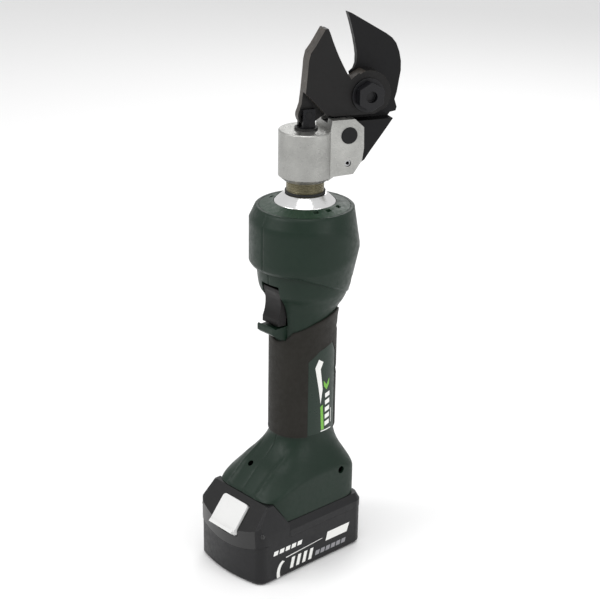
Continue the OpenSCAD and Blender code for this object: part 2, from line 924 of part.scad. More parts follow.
module battery_cells() {
    color("#3f6f9c") for (i = [0 : 4], z = cell_z)
        translate([-cell_l / 2, cell_first_y + i * cell_pitch_y, z]) rotate([0, 90, 0])
            cylinder(d = cell_d, h = cell_l, $fn = 48);
}

module cell_holders() {
    color("#e6e2d6") for (s = [-1, 1]) difference() {
        block([s * 29 - 2, cell_first_y - 10, 2.9],
              [s * 29 + 2, cell_first_y + 4 * cell_pitch_y + 10, 41.2]);
        for (i = [0 : 4], z = cell_z)
            translate([-40, cell_first_y + i * cell_pitch_y, z]) rotate([0, 90, 0])
                cylinder(d = cell_d, h = 80, $fn = 48);
    }
}

module cell_straps() {
    color("#c9c9c6") for (s = [-1, 1], i = [0 : 4])
        block([s * 32.7 - 0.2, cell_first_y + i * cell_pitch_y - 3, 8],
              [s * 32.7 + 0.2, cell_first_y + i * cell_pitch_y + 3, 36]);
}

module battery_board() {
    color("#1d5a36") block([-16, -34, 43.4], [16, 20, 45]);
}

module battery_terminals() {
    color("#c8a24a") for (x = [-11, 0, 11]) block([x - 1.2, -18, 45], [x + 1.2, 4, 54]);
}

// ---- Shoe that the battery slides into ----

module battery_shoe() {
    color("#2a2a2c") difference() {
        intersection() {
            hull() foot_slab(foot_half_w - wall - 0.05, foot_front_y - wall,
                             foot_rear_y - wall - 0.05, 46.2, 61.8, foot_front_r - wall, 11.4);
            block([-40, -40, 46], [40, 40, 62]);
        }
        // Room for the battery's rails, open at the front
        block([-20, -60, 40], [20, 27.6, 59]);
        block([-24.9, -60, 51.9], [24.9, 27.6, 59]);
        hump_space(0.3);
    }
}

module shoe_terminals() {
    color("#c8a24a") for (x = [-11, 0, 11]) {
        block([x - 0.5, 8, 51], [x + 0.5, 24, 59]);
    }
}

module power_leads() {
    for (s = [-1, 1]) color(s < 0 ? "#8c1f1f" : "#1a1a1a")
        translate([s * 11, 4, 61.8]) cylinder(r = 1.3, h = motor_z - 4 - 61.8, $fn = 24);
}

housing_left();
housing_right();
grip_left();
grip_right();
top_ring();
housing_screws();
side_plates();
work_light();
collar();
cylinder_node();  // cylinder
oil_bladder();
pump_body();
pump_shaft();
gearbox_case();
motor_can();
motor_end_cap();
motor_magnets();
armature();
motor_fan();
control_board();
switch_body();
battery_shoe();
shoe_terminals();
power_leads();
trigger();
trigger_pin();
retract_button();
neck_sleeve();
neck_ring();
yoke();
fixed_blade();
anchor_pin();
lock_pin();
pivot_bolt();
pivot_washers();
pivot_nut();
rod_seal();
moving_jaw();
pivot_bush();
ram_rod();
piston();
piston_seal();
piston_nut();
return_spring();
clevis_pin();
battery_lower_case();
battery_upper_case();
battery_front_cover();
battery_cells();
cell_holders();
cell_straps();
battery_board();
battery_terminals();
battery_screws();
latch_button();
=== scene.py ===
import json
import math

import bmesh
import bpy
import numpy as np
from mathutils import Matrix, Vector


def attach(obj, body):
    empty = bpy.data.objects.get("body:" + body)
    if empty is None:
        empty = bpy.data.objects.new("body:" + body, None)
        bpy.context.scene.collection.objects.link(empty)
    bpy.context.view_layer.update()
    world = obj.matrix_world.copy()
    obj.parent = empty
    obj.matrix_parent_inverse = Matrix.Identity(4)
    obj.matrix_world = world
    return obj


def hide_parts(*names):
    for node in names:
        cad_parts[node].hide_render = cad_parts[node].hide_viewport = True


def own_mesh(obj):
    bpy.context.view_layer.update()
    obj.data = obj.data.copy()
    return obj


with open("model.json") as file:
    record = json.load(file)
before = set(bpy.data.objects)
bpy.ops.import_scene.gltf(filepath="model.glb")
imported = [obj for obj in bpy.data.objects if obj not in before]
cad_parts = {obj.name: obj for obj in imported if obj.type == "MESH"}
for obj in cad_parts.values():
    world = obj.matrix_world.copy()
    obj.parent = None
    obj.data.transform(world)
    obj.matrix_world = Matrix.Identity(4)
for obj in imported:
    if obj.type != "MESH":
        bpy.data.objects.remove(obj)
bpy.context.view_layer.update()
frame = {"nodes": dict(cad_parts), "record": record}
nodes = frame["nodes"]
MM = 0.001
HEAD_TURN = math.radians(22)


# ---------------------------------------------------------------- materials
def lin(hexa):
    """A hex colour as linear RGB."""
    out = []
    for i in (1, 3, 5):
        c = int(hexa[i:i + 2], 16) / 255
        out.append(c / 12.92 if c <= 0.04045 else ((c + 0.055) / 1.055) ** 2.4)
    return out


def mixed(a, b, t):
    return [x + (y - x) * t for x, y in zip(a, b)]


def material(name, colour, rough, metal=0.0, grain=0.0, grain_scale=900, blotch=0.25,
             blotch_scale=45, rough_var=0.12, coat=0.0, spec=0.5, stretch=None, sheen=0.0,
             scratch=0.0, pits=0.0):
    """Procedural surface: base colour with broad variation, fine grain, pits and scratches."""
    m = bpy.data.materials.new(name)
    m.use_nodes = True
    nt = m.node_tree
    nt.nodes.clear()
    out = nt.nodes.new("ShaderNodeOutputMaterial")
    bsdf = nt.nodes.new("ShaderNodeBsdfPrincipled")
    nt.links.new(bsdf.outputs[0], out.inputs[0])
    co = nt.nodes.new("ShaderNodeTexCoord")
    mp = nt.nodes.new("ShaderNodeMapping")
    if stretch:
        mp.inputs["Scale"].default_value = stretch
    nt.links.new(co.outputs["Object"], mp.inputs[0])

    def noise(scale, detail=3.0, source=mp, roughness=0.55):
        n = nt.nodes.new("ShaderNodeTexNoise")
        n.inputs["Scale"].default_value = scale
        n.inputs["Detail"].default_value = detail
        n.inputs["Roughness"].default_value = roughness
        nt.links.new(source.outputs[0 if source is mp else "Object"], n.inputs["Vector"])
        return n.outputs["Fac"]

    def ramp(fac, stops):
        r = nt.nodes.new("ShaderNodeValToRGB")
        nt.links.new(fac, r.inputs[0])
        while len(r.color_ramp.elements) < len(stops):
            r.color_ramp.elements.new(0.5)
        for e, (p, v) in zip(r.color_ramp.elements, stops):
            e.position = p
            e.color = (v, v, v, 1) if not hasattr(v, "__len__") else (*v, 1)
        return r.outputs[0]

    base = lin(colour) if isinstance(colour, str) else list(colour)
    broad = noise(blotch_scale, 4, co)
    dark, light = [c * (1 - blotch) for c in base], [min(1, c * (1 + blotch)) for c in base]
    col = ramp(broad, [(0.3, dark), (0.7, light)])
    if scratch:
        lines = noise(260, 6, mp, 0.7)
        thin = ramp(lines, [(0.58, 0.0), (0.66, 1.0)])
        mix = nt.nodes.new("ShaderNodeMix")
        mix.data_type = "RGBA"
        amount = nt.nodes.new("ShaderNodeMath")
        amount.operation = "MULTIPLY"
        amount.inputs[1].default_value = scratch
        nt.links.new(thin, amount.inputs[0])
        nt.links.new(amount.outputs[0], mix.inputs[0])
        nt.links.new(col, mix.inputs[6])
        mix.inputs[7].default_value = (*mixed(base, [0.45, 0.43, 0.4], 0.4), 1)
        col = mix.outputs[2]
    nt.links.new(col, bsdf.inputs["Base Color"])
    r = ramp(noise(blotch_scale * 6, 5), [(0.25, max(0.02, rough - rough_var)),
                                          (0.75, min(1, rough + rough_var))])
    nt.links.new(r, bsdf.inputs["Roughness"])
    bsdf.inputs["Metallic"].default_value = metal
    bsdf.inputs["Specular IOR Level"].default_value = spec
    bsdf.inputs["Coat Weight"].default_value = coat
    bsdf.inputs["Coat Roughness"].default_value = 0.08
    bsdf.inputs["Sheen Weight"].default_value = sheen
    if grain:
        bump = nt.nodes.new("ShaderNodeBump")
        bump.inputs["Strength"].default_value = grain
        bump.inputs["Distance"].default_value = 0.0002
        nt.links.new(noise(grain_scale, 3), bump.inputs["Height"])
        if pits:
            low = nt.nodes.new("ShaderNodeBump")
            low.inputs["Strength"].default_value = pits
            low.inputs["Distance"].default_value = 0.0006
            nt.links.new(noise(180, 4), low.inputs["Height"])
            nt.links.new(low.outputs[0], bump.inputs["Normal"])
        nt.links.new(bump.outputs[0], bsdf.inputs["Normal"])
    return m


M = {
    "green": material("green_plastic", "#12241a", 0.42, grain=0.35, grain_scale=2600, blotch=0.06,
                      spec=0.25),
    "green_ring": material("green_ring", "#183021", 0.46, grain=0.35, grain_scale=2600, blotch=0.06,
                           spec=0.45),
    "plate": material("green_plate", "#13261c", 0.34, grain=0.12, grain_scale=2600, blotch=0.05,
                      spec=0.35),
    "rubber": material("grip_rubber", "#211f1b", 0.66, grain=0.5, grain_scale=1900, blotch=0.1,
                       sheen=0.05, spec=0.2),
    "battery": material("battery_plastic", "#131315", 0.4, grain=0.45, grain_scale=2200,
                        blotch=0.06, spec=0.3),
    "gloss": material("battery_gloss", "#060607", 0.16, blotch=0.05, coat=0.15, spec=0.45,
                      rough_var=0.05),
    "black": material("black_plastic", "#151516", 0.42, grain=0.3, grain_scale=2300, blotch=0.08),
    "trigger": material("trigger_plastic", "#0d0b0b", 0.42, grain=0.25, grain_scale=2300,
                        blotch=0.08, spec=0.25),
    "button": material("button_plastic", "#d9d9d8", 0.38, grain=0.15, grain_scale=2400,
                       blotch=0.02, spec=0.4),
    "alu": material("milled_aluminium", (0.36, 0.36, 0.345), 0.34, metal=0.9, grain=0.8,
                    grain_scale=500, blotch=0.16, stretch=(1, 1, 9), rough_var=0.14, scratch=0.6),
    "collar": material("polished_collar", (0.86, 0.86, 0.86), 0.16, metal=1.0, grain=0.12,
                       grain_scale=900, blotch=0.03, stretch=(1, 1, 12), rough_var=0.05),
    "neck": material("neck_steel", (0.22, 0.20, 0.13), 0.3, metal=1.0, grain=0.3, grain_scale=900,
                     blotch=0.15, stretch=(1, 1, 10)),
    "steel": material("machined_steel", (0.4, 0.4, 0.41), 0.32, metal=1.0, grain=0.2, blotch=0.1),
    "blade": material("blade_black", "#0b0b0d", 0.44, metal=0.0, grain=0.25, grain_scale=1500,
                      blotch=0.1, blotch_scale=60, pits=0.04, spec=0.2),
    "jaw": material("jaw_black", "#100f0f", 0.46, metal=0.0, grain=0.3, grain_scale=1300,
                    blotch=0.12, blotch_scale=60, pits=0.06, spec=0.25),
    "worn": material("jaw_ground_edge", "#3d3833", 0.42, metal=0.3, grain=0.4, grain_scale=1200,
                     blotch=0.3, blotch_scale=120, scratch=0.35),
    "bolt": material("blacked_bolt", "#111114", 0.36, metal=0.0, grain=0.15, grain_scale=1500,
                     blotch=0.1, spec=0.3),
    "rod": material("rod_black", "#101013", 0.28, metal=0.6, grain=0.1, blotch=0.15),
    "pin": material("pin_black", "#0b0b0d", 0.5, metal=0.0, grain=0.4, grain_scale=1400,
                    blotch=0.2, spec=0.25),
    "screw": material("screw_black", "#202122", 0.35, metal=0.8, grain=0.2, blotch=0.15),
    "seal": material("seal_rubber", "#141414", 0.6, grain=0.2, blotch=0.1),
    "lens": material("dark_lens", "#050607", 0.08, blotch=0.05, coat=0.8, rough_var=0.03),
    "white": material("label_white", "#e9e9e6", 0.45, blotch=0.02, grain=0.1, grain_scale=3000),
    "lime": material("label_lime", "#6fae3a", 0.45, blotch=0.06, grain=0.1, grain_scale=3000),
    "grey_label": material("label_grey", "#8a8a8e", 0.45, blotch=0.04, grain=0.1,
                           grain_scale=3000),
    "copper": material("copper_coil", (0.6, 0.27, 0.12), 0.35, metal=1, grain=0.4,
                       grain_scale=1500, stretch=(1, 1, 6)),
    "magnet": material("magnet_grey", "#3a3a3d", 0.4, metal=0.5, grain=0.2),
    "brass": material("contact_brass", (0.72, 0.52, 0.22), 0.28, metal=1, grain=0.15),
    "board": material("board_green", "#14502f", 0.4, grain=0.2, blotch=0.15),
    "cell": material("cell_sleeve", "#2f6aa5", 0.3, blotch=0.05, grain=0.05),
    "holder": material("holder_cream", "#d8d3c4", 0.5, grain=0.3, blotch=0.05),
    "cast": material("cast_alloy", (0.45, 0.46, 0.47), 0.5, metal=0.9, grain=0.6,
                     grain_scale=500),
    "lead": material("lead_cover", "#7a1a1a", 0.4, grain=0.1, blotch=0.05),
}

NODE_LOOK = {
    "green": ["housing_left", "housing_right"],
    "rubber": ["grip_left", "grip_right"],
    "green_ring": ["top_ring"],
    "screw": ["housing_screws", "battery_screws"],
    "plate": ["side_plates"],
    "lens": ["work_light"],
    "collar": ["collar"],
    "steel": ["cylinder", "pump_shaft", "motor_can", "trigger_pin", "lock_pin",
              "piston", "piston_nut", "return_spring"],
    "seal": ["oil_bladder", "neck_ring", "rod_seal", "piston_seal"],
    "cast": ["pump_body", "gearbox_case"],
    "black": ["motor_end_cap", "motor_fan", "switch_body", "battery_shoe", "retract_button"],
    "magnet": ["motor_magnets"],
    "copper": ["armature"],
    "board": ["control_board", "battery_board"],
    "brass": ["shoe_terminals", "battery_terminals", "pivot_bush", "cell_straps"],
    "lead": ["power_leads"],
    "trigger": ["trigger"],
    "neck": ["neck_sleeve"],
    "alu": ["yoke"],
    "blade": ["fixed_blade"],
    "pin": ["anchor_pin", "clevis_pin"],
    "bolt": ["pivot_bolt", "pivot_nut", "pivot_washers"],
    "jaw": ["moving_jaw"],
    "rod": ["ram_rod"],
    "battery": ["battery_lower_case", "battery_upper_case"],
    "gloss": ["battery_front_cover"],
    "cell": ["battery_cells"],
    "holder": ["cell_holders"],
    "button": ["latch_button"],
}
look_of = {n: k for k, names in NODE_LOOK.items() for n in names}
slot_of = {s["node"]: s["material_slot"] for s in frame["record"]["subparts"]}
for name, o in nodes.items():
    o.data.materials.clear()
    o.data.materials.append(M[look_of[name]])


# ---------------------------------------------------------------- mesh helpers
def add_mesh(name, me, look, body, slot=None, replaces=(), smooth=35):
    o = bpy.data.objects.new(name, me)
    bpy.context.scene.collection.objects.link(o)
    me.materials.clear()
    me.materials.append(M[look])
    for p in me.polygons:
        p.use_smooth = True
    me.set_sharp_from_angle(angle=math.radians(smooth))
    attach(o, body)
    if replaces:
        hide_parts(*replaces)
        slot = slot or slot_of[replaces[0]]
    return o


def body_of_node(n):
    for b, members in frame["record"]["behaviour"]["bodies"].items():
        if n in members:
            return b
    raise KeyError(n)


def clean_copy(node):
    """The node's mesh as a bmesh with its split vertices joined and flat faces merged."""
    bm = bmesh.new()
    bm.from_mesh(nodes[node].data)
    bmesh.ops.remove_doubles(bm, verts=bm.verts, dist=2e-6)
    bmesh.ops.dissolve_limit(bm, angle_limit=math.radians(0.6), verts=bm.verts, edges=bm.edges,
                             delimit={"NORMAL"})
    return bm


def softened(node, width, segments=2, angle=28, look=None, name=None):
    """A copy of a CAD node with rounded edges, in its place."""
    bm = clean_copy(node)
    me = bpy.data.meshes.new(name or node + "_body")
    bm.to_mesh(me)
    bm.free()
    o = add_mesh(name or node + "_body", me, look or look_of[node], body_of_node(node),
                 replaces=[node], smooth=180)
    b = o.modifiers.new("edge", "BEVEL")
    b.width = width * MM
    b.segments = segments
    b.limit_method = "ANGLE"
    b.angle_limit = math.radians(angle)
    b.harden_normals = False
    b.use_clamp_overlap = True
    w = o.modifiers.new("normals", "WEIGHTED_NORMAL")
    w.weight = 80
    w.keep_sharp = False
    return o


def applied(o):
    """Applies the object's modifiers to its own mesh."""
    bpy.context.view_layer.update()
    deps = bpy.context.evaluated_depsgraph_get()
    me = bpy.data.meshes.new_from_object(o.evaluated_get(deps), depsgraph=deps)
    o.modifiers.clear()
    o.data = me
    return o


def loose(name, verts, faces):
    """A helper mesh used as a cutter."""
    me = bpy.data.meshes.new(name)
    me.from_pydata([tuple(v) for v in verts], [], faces)
    o = bpy.data.objects.new(name, me)
    bpy.context.scene.collection.objects.link(o)
    bm = bmesh.new()
    bm.from_mesh(me)
    bmesh.ops.recalc_face_normals(bm, faces=bm.faces)
    bm.to_mesh(me)
    bm.free()
    return o


def prism_x(points, x0, x1, name="cutter"):
    """A prism along X from an outline in (y, z), in millimetres."""
    n = len(points)
    verts = [(x0 * MM, y * MM, z * MM) for y, z in points]
    verts += [(x1 * MM, y * MM, z * MM) for y, z in points]
    faces = [list(range(n))[::-1], list(range(n, 2 * n))]
    faces += [[i, (i + 1) % n, n + (i + 1) % n, n + i] for i in range(n)]
    return loose(name, verts, faces)


def box_cutter(lo, hi):
    return prism_x([(lo[1], lo[2]), (hi[1], lo[2]), (hi[1], hi[2]), (lo[1], hi[2])], lo[0], hi[0])


def bar_x(y, z, x0, x1, r, n=40):
    return prism_x([(y + r * math.cos(2 * math.pi * i / n), z + r * math.sin(2 * math.pi * i / n))
                    for i in range(n)], x0, x1)


def leaning_bar(at, tilt, low, high, r, n=32):
    """A round cutter about an axis through at that leans forward from +Z by tilt degrees."""
    c, s = math.cos(math.radians(tilt)), math.sin(math.radians(tilt))
    verts = []
    for h in (low, high):
        for i in range(n):
            t = 2 * math.pi * i / n
            x, y = r * math.cos(t), r * math.sin(t)
            verts.append([(at[0] + x) * MM, (at[1] + y * c - h * s) * MM,
                          (at[2] + y * s + h * c) * MM])
    faces = [list(range(n))[::-1], list(range(n, 2 * n))]
    faces += [[i, (i + 1) % n, n + (i + 1) % n, n + i] for i in range(n)]
    return loose("cutter", verts, faces)


def boolean(o, cutters, operation="DIFFERENCE"):
    for c in cutters:
        mod = o.modifiers.new("cut", "BOOLEAN")
        mod.operation = operation
        mod.solver = "EXACT"
        mod.object = c
        applied(o)
    for c in cutters:
        bpy.data.objects.remove(c)
    return o


# ---------------------------------------------------------------- housing skin
FOOT_BOTTOM = 45.3
BARREL_TOP = 284.0
BARREL_R = 41.6
BARREL_TOP_R = 37.0
SHELL_WALL = 2.4
TOP_RING_SEAT_R = 34.25
TOP_RING_SEAT_Z = 280
SEAM_DEPTH = 0.35
def smooth_table(rows):
    """Monotone cubic through rows of (z, a, b, c, ...)."""
    t = np.array(rows, float)
    z, v = t[:, 0], t[:, 1:]
    h = np.diff(z)[:, None]
    d = np.diff(v, axis=0) / h
    m = np.zeros_like(v)
    m[1:-1] = np.where(d[:-1] * d[1:] > 0, 2 * d[:-1] * d[1:] / (d[:-1] + d[1:] + 1e-12), 0)
    m[0], m[-1] = d[0], d[-1]

    def at(x):
        x = min(max(x, z[0]), z[-1])
        i = min(max(int(np.searchsorted(z, x)) - 1, 0), len(z) - 2)
        s = (x - z[i]) / h[i, 0]
        h00, h10 = 2 * s**3 - 3 * s**2 + 1, s**3 - 2 * s**2 + s
        h01, h11 = -2 * s**3 + 3 * s**2, s**3 - s**2
        return (h00 * v[i] + h10 * h[i, 0] * m[i] + h01 * v[i + 1] + h11 * h[i, 0] * m[i + 1])

    return at


# z, half-width, reach to the front, reach to the rear
FLARE = smooth_table([
    (45, 70, 90, 58), (56, 55, 73, 47), (63, 45.5, 64, 41.5), (70, 38.5, 57, 37.5),
    (76, 33.4, 51, 34.2), (81, 29.8, 45.5, 31.4), (86, 26.7, 38.5, 28.9), (91, 24.3, 32.6, 27.1),
    (96, 22.8, 28.3, 26), (101, 22.1, 26.1, 25.6), (106, 22, 25.5, 25.5), (190, 22, 25.5, 25.5),
    (300, 22, 25.5, 25.5),
])
UPPER = smooth_table([
    (170, 18, 18), (184, 22, 21.5), (191, 23.8, 23), (198, 25.3, 24.6), (206, 27, 27),
    (211, 28.6, 30.4), (216, 30.8, 32.8), (220, 33.4, 33.8), (226, 34.7, 34.8), (236, 35.7, 36),
    (245, 36, 37),
])


def superellipse(phi, a, front, rear, n_front, n_rear):
    c, s = abs(math.cos(phi)), math.sin(phi)
    b, n = (rear, n_rear) if s > 0 else (front, n_front)
    return ((c / a) ** n + (abs(s) / b) ** n) ** (-1 / n)


def soft_min(a, b, k):
    h = max(k - abs(a - b), 0) / k
    return min(a, b) - h * h * k / 4


def soft_max(a, b, k):
    return -soft_min(-a, -b, k)


def rearness(phi):
    """0 at the front of the barrel, 1 at the back."""
    return min(max(0.5 + 0.5 * math.sin(phi) / 0.735, 0), 1)


def skirt_z(phi):
    return 238.5 - 22.5 * rearness(phi)


def upper_crease_z(phi):
    return 274 - 19 * max(0, (rearness(phi) - 0.3) / 0.7) ** 1.3


def lower_crease_z(phi):
    return 241.5 + 12 * rearness(phi) ** 1.5


def lower_body_r(phi, z):
    """Radius of the foot, handle and the inner part of the barrel."""
    a, f, r = FLARE(z)
    low_share = min(max((101 - z) / 20, 0), 1)
    flare = superellipse(phi, a, f, r, 2.15 + 1.1 * low_share, 2.2 + 0.5 * low_share)
    low = superellipse(phi, 33.5, 61.3, 32.5, 7, 5.5)
    radius = soft_min(flare, low, 2.0) if z < 100 else flare
    if z > 178:
        u = UPPER(z)
        w = rearness(phi)
        radius = soft_max(radius, u[0] + (u[1] - u[0]) * w, 3.0)
    return radius


def barrel_r(phi, z):
    up, low, edge = upper_crease_z(phi), lower_crease_z(phi), skirt_z(phi)
    if z > up:
        return BARREL_R - (BARREL_R - BARREL_TOP_R) * (z - up) / (BARREL_TOP - up)
    if z > low:
        return BARREL_R
    w = rearness(phi)
    edge_r = 39.6 - 5.9 * w
    t = (z - edge) / (low - edge)
    return edge_r + (BARREL_R - edge_r) * t ** 0.9


def ridge(x, y, z):
    """Raised ribs either side of the panel on the foot's front slope."""
    if y > -22 or z > 96 or z < 62:
        return 0
    fade = min(1, (96 - z) / 10) * min(1, (z - 62) / 4)
    d = abs(abs(x) - 16)
    rib = 0.7 * math.exp(-(d / 1.5) ** 2)
    panel = -0.5 * (1 / (1 + math.exp((abs(x) - 14) * 1.6)))
    return fade * (rib + panel)


BODY, STEP, RIM, BARREL = range(4)


def skin_rows(phi, offset):
    """(z, radius) pairs up the housing at one angle, the barrel's skirt standing off the body."""
    edge, low, up = skirt_z(phi), lower_crease_z(phi), upper_crease_z(phi)
    heights = [(z, BODY) for z in np.linspace(FOOT_BOTTOM, 104, 56)]
    heights += [(z, BODY) for z in np.linspace(107, 176, 18)]
    heights += [(z, BODY) for z in np.linspace(179, edge - 1.6, 30)]
    heights += [(edge - 0.8, BODY), (edge - 0.45, STEP), (edge, RIM)]
    heights += [(z, BARREL) for z in np.linspace(edge + 0.5, low, 7)]
    heights += [(z, BARREL) for z in np.linspace(low, up, 8)[1:]]
    heights += [(z, BARREL) for z in np.linspace(up, BARREL_TOP - 0.8, 7)[1:]]
    rows = []
    for z, kind in heights:
        if kind == BODY:
            r = lower_body_r(phi, z)
        elif kind == STEP:
            r = (lower_body_r(phi, z) + barrel_r(phi, edge)) / 2
        elif kind == RIM:
            r = barrel_r(phi, edge) - 0.4
        else:
            r = barrel_r(phi, z)
        rows.append((z, r + offset))
    rows.append((BARREL_TOP, barrel_r(phi, BARREL_TOP) - 0.8 + offset))
    return rows


def housing_half(side, name, node):
    """One half of the housing: outer and inner skins joined at their edges, then cut open."""
    cols = 121
    phis = np.linspace(-math.pi / 2, math.pi / 2, cols)
    verts = []
    for layer in (0, 1):
        for i, phi in enumerate(phis):
            rows = skin_rows(phi, -SHELL_WALL if layer else 0)
            seam = SEAM_DEPTH if i in (0, cols - 1) and not layer else 0
            for z, r in rows:
                x, y, zz = (r - seam) * math.cos(phi), (r - seam) * math.sin(phi), z
                k = ridge(x, y, zz)
                if k and not layer:
                    y -= k * 0.8
                    zz += k * 0.6
                if layer and zz > TOP_RING_SEAT_Z:
                    grow = TOP_RING_SEAT_R / r
                    x, y = x * grow, y * grow
                verts.append((side * (abs(x) + 0.05) * MM, y * MM, zz * MM))
    n = len(skin_rows(0, 0))
    layer_size = cols * n
    faces = []
    for i in range(cols - 1):
        for j in range(n - 1):
            a, b, c, d = i * n + j, (i + 1) * n + j, (i + 1) * n + j + 1, i * n + j + 1
            faces.append([a, b, c, d])
            faces.append([layer_size + v for v in (d, c, b, a)])
    for i in range(cols - 1):
        for j in (0, n - 1):
            a, b = i * n + j, (i + 1) * n + j
            quad = [a, b, layer_size + b, layer_size + a]
            faces.append(quad if j == 0 else quad[::-1])
    for j in range(n - 1):
        for i in (0, cols - 1):
            a, b = i * n + j, i * n + j + 1
            faces.append([a, b, layer_size + b, layer_size + a])
    o = loose(name, verts, faces)
    cut = [
        box_cutter((-9.4, -60, 195.2), (9.4, -18, 228.6)),
        prism_x([(-110, 20), (-110, 63.7), (-55.7, 63.7), (-42.5, 44.3), (-42.5, 20)], -50, 50),
    ]
    if side > 0:
        cut += [bar_x(12.4, 71, 23, 60, 3), bar_x(20.6, 150, 5, 60, 3),
                bar_x(20.6, 186, 5, 60, 3), bar_x(22, 227, 19.6, 60, 3.8)]
    else:
        cut.append(bar_x(0, 226, -60, -20, 5.4))
        cut.append(leaning_bar((-8, -45.4, 80.2), 42, -1.6, 6, 2.5))
    boolean(o, cut)
    lip = prism_x([(-37.6, 196.5), (-38.6, 195.6), (-38.6, 191.5), (-36.5, 189.4), (-33, 187.4),
                   (-28, 184.6), (-22.5, 182), (-22.5, 194.8), (-35.4, 194.8), (-36.4, 195.4)],
                  0.05 * side, 8.5 * side)
    boolean(o, [lip], "UNION")
    me = o.data.copy()
    bpy.data.objects.remove(o)
    me.name = name
    return add_mesh(name, me, "green", "tool", replaces=[node], smooth=32)


housing_half(1, "shell_right", "housing_right")
housing_half(-1, "shell_left", "housing_left")

# ---------------------------------------------------------------- grip, plates and label
GRIP_BOTTOM = 102.4
GRIP_SKIN = (0.03, 1.6)
PLATE_SKIN = (0.03, 1.3)
MARK_SKIN = (1.305, 1.35)
PLATE_TOP, PLATE_BOTTOM = 178, 103
EDGE_Y = (-26, -22, -8, 5, 12, 16, 21, 28)
EDGE_Z = (181, 190, 198, 203, 205, 203.5, 199, 196)


def grip_top(phi):
    """Height of the rubber's upper edge at one angle."""
    return float(np.interp(lower_body_r(phi, 195) * math.sin(phi), EDGE_Y, EDGE_Z))


def skin_patch(name, side, phis, bottom, top, inner, outer, rows=60, rounded=True):
    """A closed skin over the handle between two heights, as a mesh with real thickness."""
    def levels(phi):
        lo, hi = bottom, top(phi)
        zs = [lo, lo + 0.3, lo + 0.9, *np.linspace(lo + 1.6, hi - 1.6, rows), hi - 0.9,
              hi - 0.3, hi]
        n = len(zs)
        step = [0.62, 0.25, 0.06] if rounded else [0, 0, 0]
        drop = step + [0] * (n - 6) + step[::-1]
        return zs, drop

    verts = []
    for layer in (0, 1):
        for phi in phis:
            zs, drop = levels(phi)
            for z, d in zip(zs, drop):
                r = lower_body_r(phi, z)
                r += inner if layer else inner + (outer - inner) * (1 - d)
                x, y = r * math.cos(phi), r * math.sin(phi)
                verts.append((side * max(x, 0.03) * MM, y * MM, z * MM))
    n, cols = len(levels(0)[0]), len(phis)
    size = cols * n
    faces = []
    for i in range(cols - 1):
        for j in range(n - 1):
            a, b, c, d = i * n + j, (i + 1) * n + j, (i + 1) * n + j + 1, i * n + j + 1
            faces += [[a, b, c, d], [size + v for v in (d, c, b, a)]]
        for j in (0, n - 1):
            a, b = i * n + j, (i + 1) * n + j
            faces.append([a, b, size + b, size + a])
    for j in range(n - 1):
        for i in (0, cols - 1):
            a, b = i * n + j, i * n + j + 1
            faces.append([a, b, size + b, size + a])
    return loose(name, verts, faces)


PLATE = [(-12.7, 103.9), (-12.7, 165.8), (-3.2, 173.2), (10.9, 176.9), (15.6, 167.6),
         (15.6, 103.9)]
WINDOW = [(-13, 90), (-13, 166), (-3.4, 173.6), (11, 177.3), (16, 168), (16, 90)]


def keep_mesh(o, name, look, body, width=0.0, angle=40, **kw):
    """Turns a cut helper mesh into a shown piece, with rounded cut edges."""
    me = o.data.copy()
    bpy.data.objects.remove(o)
    me.name = name
    piece = add_mesh(name, me, look, body, smooth=kw.pop("smooth", 35), **kw)
    if width:
        b = piece.modifiers.new("edge", "BEVEL")
        b.width, b.segments = width * MM, 2
        b.limit_method, b.angle_limit = "ANGLE", math.radians(angle)
    return piece


for side, word in ((1, "right"), (-1, "left")):
    skin = skin_patch("skin", side, np.linspace(-math.pi / 2, math.pi / 2, 121), GRIP_BOTTOM,
                      grip_top, *GRIP_SKIN)
    boolean(skin, [
        prism_x(WINDOW, side * 12, side * 40),
        prism_x([(-45, 200), (-45, 187.4), (-33, 186.9), (-28, 184.2), (-24, 182.3),
                 (-20, 181), (-20, 200)], -8.8, 8.8),
    ] + ([bar_x(20.6, 150, 0, 60, 3.8), bar_x(20.6, 186, 0, 60, 3.8)] if side > 0 else []))
    keep_mesh(skin, "grip_skin_" + word, "rubber", "tool", 0.35, replaces=["grip_" + word])
    plate = skin_patch("plate", side, np.linspace(-0.9, 0.95, 60), PLATE_BOTTOM,
                       lambda phi: PLATE_TOP, *PLATE_SKIN, rounded=False)
    boolean(plate, [prism_x(PLATE, side * 10, side * 40)], "INTERSECT")
    keep_mesh(plate, "handle_plate_" + word, "plate", "tool", 0.3, replaces=["side_plates"])


def plate_mark(name, points, look):
    """A thin printed shape on the right-hand plate, as an outline in (y, z)."""
    mark = skin_patch("mark", 1, np.linspace(-0.55, 0.65, 60), PLATE_BOTTOM,
                      lambda phi: PLATE_TOP, *MARK_SKIN, rounded=False)
    boolean(mark, [prism_x(points, 10, 40)], "INTERSECT")
    return keep_mesh(mark, name, look, "tool", slot="plate_plastic")


